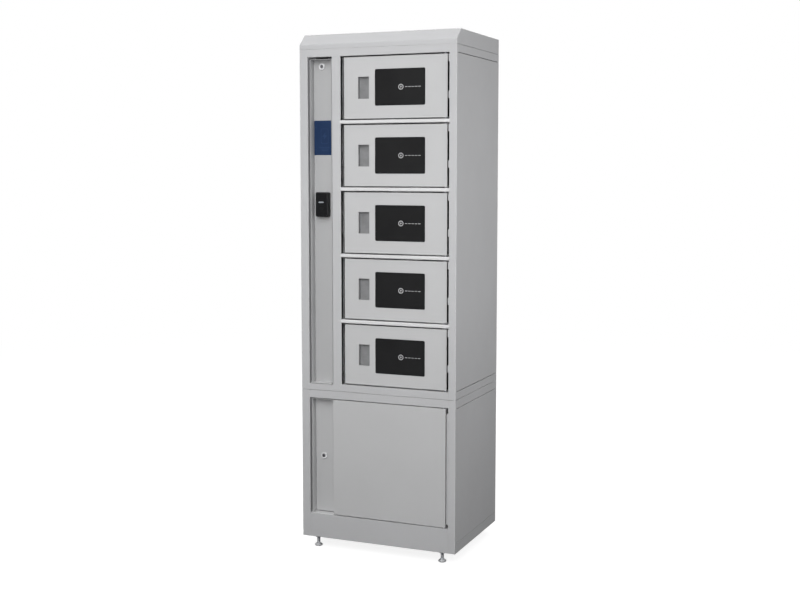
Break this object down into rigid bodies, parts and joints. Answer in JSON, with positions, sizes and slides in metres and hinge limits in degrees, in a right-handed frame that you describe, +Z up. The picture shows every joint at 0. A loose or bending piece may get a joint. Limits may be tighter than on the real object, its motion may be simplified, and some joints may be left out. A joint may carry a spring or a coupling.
{
  "type": "phone charging kiosk",
  "caption": "Free-standing sheet-steel phone charging locker: hinged windowed bay doors over a storage cupboard, with a recessed service column holding a lock and a card reader.",
  "frame": {"origin": "centre of the footprint on the floor, under the feet", "axes": "+Z up, the doors face -Y, +X to the right of someone facing the doors"},
  "size_m": [0.6, 0.45, 1.868],
  "materials": {
    "grey_paint": "light grey powder coat, fine satin texture",
    "grey_door_paint": "light grey powder coat, fine satin texture",
    "smoked_window": "smoked acrylic, gloss",
    "grey_cup_plastic": "moulded grey plastic, fine grain",
    "black_plastic": "moulded black plastic, fine grain",
    "lock_chrome": "satin chrome",
    "zinc_steel": "bright zinc plate",
    "lock_body_zinc": "zinc die casting",
    "circuit_board": "green solder mask",
    "psu_case": "folded aluminium case",
    "foot_zinc": "zinc-plated pad on a threaded steel stem",
    "label_blue": "plain dark blue film"
  },
  "bodies": {
    "cabinet": {"plinth": "grey_paint", "lower_top_band": "grey_paint", "lower_left_post": "grey_paint", "lower_right_post": "grey_paint", "lower_left_side": "grey_paint", "lower_right_side": "grey_paint", "lower_rear_panel": "grey_paint", "storage_shelf": "grey_paint", "upper_bottom_band": "grey_paint", "upper_top_band": "grey_paint", "upper_left_post": "grey_paint", "mid_stile": "grey_paint", "upper_right_post": "grey_paint", "upper_left_side": "grey_paint", "upper_right_side": "grey_paint", "upper_rear_panel": "grey_paint", "top_cap": "grey_paint", "bay_partition": "grey_paint", "bay_shelves": "grey_paint", "hinge_pins": "zinc_steel", "lock_bodies": "lock_body_zinc", "charging_sockets": "black_plastic", "control_board": "circuit_board", "power_supply": "psu_case", "fan_housing": "black_plastic", "mains_inlet": "black_plastic", "frame_bolts": "zinc_steel"},
    "service_panel": {"service_panel": "grey_door_paint", "service_lock_barrel": "lock_chrome", "card_reader": "black_plastic", "label_plate": "label_blue"},
    "service_lock": {"service_lock_plug": "lock_chrome"},
    "lower_door": {"lower_door": "grey_door_paint", "lower_lock_barrel": "lock_chrome"},
    "lower_lock": {"lower_lock_plug": "lock_chrome"},
    "fan_rotor": {"fan_rotor": "black_plastic"},
    "bay_door_1": {"bay_door_1": "grey_door_paint", "door_window_1": "smoked_window", "pull_cup_1": "grey_cup_plastic"},
    "bay_door_2": {"bay_door_2": "grey_door_paint", "door_window_2": "smoked_window", "pull_cup_2": "grey_cup_plastic"},
    "bay_door_3": {"bay_door_3": "grey_door_paint", "door_window_3": "smoked_window", "pull_cup_3": "grey_cup_plastic"},
    "bay_door_4": {"bay_door_4": "grey_door_paint", "door_window_4": "smoked_window", "pull_cup_4": "grey_cup_plastic"},
    "bay_door_5": {"bay_door_5": "grey_door_paint", "door_window_5": "smoked_window", "pull_cup_5": "grey_cup_plastic"},
    "lock_bolt_1": {"lock_bolt_1": "zinc_steel"},
    "lock_bolt_2": {"lock_bolt_2": "zinc_steel"},
    "lock_bolt_3": {"lock_bolt_3": "zinc_steel"},
    "lock_bolt_4": {"lock_bolt_4": "zinc_steel"},
    "lock_bolt_5": {"lock_bolt_5": "zinc_steel"},
    "levelling_foot_1": {"levelling_foot_1": "foot_zinc"},
    "levelling_foot_2": {"levelling_foot_2": "foot_zinc"},
    "levelling_foot_3": {"levelling_foot_3": "foot_zinc"},
    "levelling_foot_4": {"levelling_foot_4": "foot_zinc"}
  },
  "joints": [
    {"name": "bay_door_1_swing", "type": "hinge", "parent": "cabinet", "child": "bay_door_1", "pos_m": [0.2561, -0.2145, 1.5654], "axis": [0, 0, 1], "range_deg": [0, 110]},
    {"name": "bay_door_2_swing", "type": "hinge", "parent": "cabinet", "child": "bay_door_2", "pos_m": [0.2561, -0.2145, 1.3286], "axis": [0, 0, 1], "range_deg": [0, 110]},
    {"name": "bay_door_3_swing", "type": "hinge", "parent": "cabinet", "child": "bay_door_3", "pos_m": [0.2561, -0.2145, 1.0918], "axis": [0, 0, 1], "range_deg": [0, 110]},
    {"name": "bay_door_4_swing", "type": "hinge", "parent": "cabinet", "child": "bay_door_4", "pos_m": [0.2561, -0.2145, 0.855], "axis": [0, 0, 1], "range_deg": [0, 110]},
    {"name": "bay_door_5_swing", "type": "hinge", "parent": "cabinet", "child": "bay_door_5", "pos_m": [0.2561, -0.2145, 0.6182], "axis": [0, 0, 1], "range_deg": [0, 110]},
    {"name": "lock_bolt_1_slide", "type": "slide", "parent": "cabinet", "child": "lock_bolt_1", "axis": [1, 0, 0], "range_m": [0, 0.015]},
    {"name": "lock_bolt_2_slide", "type": "slide", "parent": "cabinet", "child": "lock_bolt_2", "axis": [1, 0, 0], "range_m": [0, 0.015]},
    {"name": "lock_bolt_3_slide", "type": "slide", "parent": "cabinet", "child": "lock_bolt_3", "axis": [1, 0, 0], "range_m": [0, 0.015]},
    {"name": "lock_bolt_4_slide", "type": "slide", "parent": "cabinet", "child": "lock_bolt_4", "axis": [1, 0, 0], "range_m": [0, 0.015]},
    {"name": "lock_bolt_5_slide", "type": "slide", "parent": "cabinet", "child": "lock_bolt_5", "axis": [1, 0, 0], "range_m": [0, 0.015]},
    {"name": "lower_door_swing", "type": "hinge", "parent": "cabinet", "child": "lower_door", "pos_m": [0.2578, -0.221, 0.13], "axis": [0, 0, 1], "range_deg": [0, 110]},
    {"name": "lower_lock_turn", "type": "hinge", "parent": "lower_door", "child": "lower_lock", "pos_m": [-0.227, -0.191, 0.338], "axis": [0, 1, 0], "range_deg": [0, 90]},
    {"name": "service_panel_swing", "type": "hinge", "parent": "cabinet", "child": "service_panel", "pos_m": [-0.1788, -0.218, 0.6115], "axis": [0, 0, 1], "range_deg": [0, 100]},
    {"name": "service_lock_turn", "type": "hinge", "parent": "service_panel", "child": "service_lock", "pos_m": [-0.227, -0.191, 1.754], "axis": [0, 1, 0], "range_deg": [0, 90]},
    {"name": "fan_spin", "type": "hinge", "parent": "cabinet", "child": "fan_rotor", "pos_m": [-0.208, 0.212, 1.6775], "axis": [0, 1, 0], "continuous": true},
    {"name": "levelling_foot_1_height", "type": "slide", "parent": "cabinet", "child": "levelling_foot_1", "axis": [0, 0, 1], "range_m": [-0.01, 0.012]},
    {"name": "levelling_foot_2_height", "type": "slide", "parent": "cabinet", "child": "levelling_foot_2", "axis": [0, 0, 1], "range_m": [-0.01, 0.012]},
    {"name": "levelling_foot_3_height", "type": "slide", "parent": "cabinet", "child": "levelling_foot_3", "axis": [0, 0, 1], "range_m": [-0.01, 0.012]},
    {"name": "levelling_foot_4_height", "type": "slide", "parent": "cabinet", "child": "levelling_foot_4", "axis": [0, 0, 1], "range_m": [-0.01, 0.012]}
  ]
}
